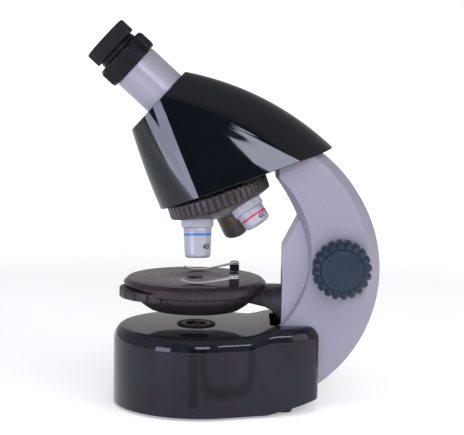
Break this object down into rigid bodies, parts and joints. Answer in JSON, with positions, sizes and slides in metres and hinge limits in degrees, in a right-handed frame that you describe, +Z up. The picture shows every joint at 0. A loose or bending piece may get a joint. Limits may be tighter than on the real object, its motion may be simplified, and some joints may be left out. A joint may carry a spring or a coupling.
{
  "type": "children's microscope",
  "caption": "Small upright microscope with a lit drum base, C-shaped arm, geared focus stage, tilted lens turret and angled zoom eyepiece.",
  "frame": {"origin": "centre of the bounding box at table height, under the feet", "axes": "+Z up, +X from the eyepiece side to the arm, -Y is the side with the filter wheel"},
  "size_m": [0.1718, 0.0992, 0.2251],
  "materials": {
    "smoked": "gloss, slightly see-through smoked",
    "hood_black": "high gloss",
    "dark": "fine satin",
    "silver": "satin silver-grey",
    "silver_tube": "satin silver",
    "steel": "bright",
    "rubber": "matt",
    "blue_knob": "matt blue-grey",
    "glass": "clear",
    "lamp": "clear dome",
    "board": "board",
    "cell": "printed sleeve",
    "nylon": "natural nylon"
  },
  "bodies": {
    "stand": {"base_housing": "smoked", "base_bottom_plate": "dark", "battery_door": "dark", "door_screw": "steel", "base_screw_1": "steel", "base_screw_2": "steel", "foot_front_near": "rubber", "foot_front_far": "rubber", "foot_rear_near": "rubber", "foot_rear_far": "rubber", "battery_tray": "dark", "battery_cell_1": "cell", "battery_cell_2": "cell", "battery_spring_1": "steel", "battery_spring_2": "steel", "illuminator_bezel": "dark", "collector_lens": "glass", "lamp_board": "board", "lamp_led": "lamp", "arm_shell_near": "silver", "arm_shell_far": "silver", "arm_screw_1": "steel", "arm_screw_2": "steel", "shaft_bush_near": "nylon", "shaft_bush_far": "nylon", "rack_housing": "silver", "head_frame": "dark", "hood": "hood_black", "eyepiece_tube": "silver_tube", "prism": "glass", "turret_pivot_screw": "steel", "detent_spring": "steel"},
    "focus_drive": {"focus_shaft": "steel", "pinion": "nylon", "focus_knob_near": "blue_knob", "focus_knob_far": "blue_knob"},
    "stage": {"stage_plate": "dark", "stage_dish": "dark", "stage_bracket": "dark", "focus_rack": "nylon", "clip_bush_near": "dark", "clip_bush_far": "dark"},
    "clip_near": {"clip_spring_near": "steel", "clip_screw_near": "steel"},
    "clip_far": {"clip_spring_far": "steel", "clip_screw_far": "steel"},
    "filter_disc": {"filter_wheel": "dark"},
    "turret": {"turret_plate": "dark", "objective_high": "silver_tube", "objective_low": "silver_tube", "objective_medium": "silver_tube", "objective_lens_high": "glass", "objective_lens_low": "glass", "objective_lens_medium": "glass"},
    "zoom_ring": {"zoom_collar": "dark"},
    "eyepiece": {"eyepiece_barrel": "dark", "eyecup": "rubber", "eye_lens": "glass"},
    "switch": {"power_switch": "rubber"}
  },
  "joints": [
    {"name": "focus_spin", "type": "hinge", "parent": "stand", "child": "focus_drive", "pos_m": [0.0629, 0, 0.0853], "axis": [0, 1, 0], "range_deg": [-53.5, 68.8]},
    {"name": "stage_slide", "type": "slide", "parent": "stand", "child": "stage", "axis": [0, 0, 1], "range_m": [-0.007, 0.009]},
    {"name": "clip_near_swing", "type": "hinge", "parent": "stage", "child": "clip_near", "pos_m": [0.0011, -0.026, 0.075], "axis": [0, 0, 1], "range_deg": [-15, 40]},
    {"name": "clip_far_swing", "type": "hinge", "parent": "stage", "child": "clip_far", "pos_m": [0.0011, 0.026, 0.075], "axis": [0, 0, 1], "range_deg": [-40, 15]},
    {"name": "filter_turn", "type": "hinge", "parent": "stage", "child": "filter_disc", "pos_m": [-0.03965, -0.00727, 0.0648], "axis": [0, 0, 1], "continuous": true},
    {"name": "turret_spin", "type": "hinge", "parent": "stand", "child": "turret", "pos_m": [-0.0098, 0, 0.1254], "axis": [-0.3355, 0, 0.9421], "continuous": true},
    {"name": "zoom_turn", "type": "hinge", "parent": "stand", "child": "zoom_ring", "pos_m": [-0.04195, 0, 0.18355], "axis": [-0.7431, 0, 0.6691], "range_deg": [0, 120]},
    {"name": "eyepiece_slide", "type": "slide", "parent": "stand", "child": "eyepiece", "axis": [-0.7431, 0, 0.6691], "range_m": [0, 0.008]},
    {"name": "power_switch_slide", "type": "slide", "parent": "stand", "child": "switch", "axis": [1, 0, 0], "range_m": [0, 0.004]}
  ],
  "couplings": [
    {"joint": "focus_spin", "follows": "stage_slide", "rad_per_m": 133.33},
    {"joint": "zoom_turn", "follows": "eyepiece_slide", "rad_per_m": 261.79}
  ]
}
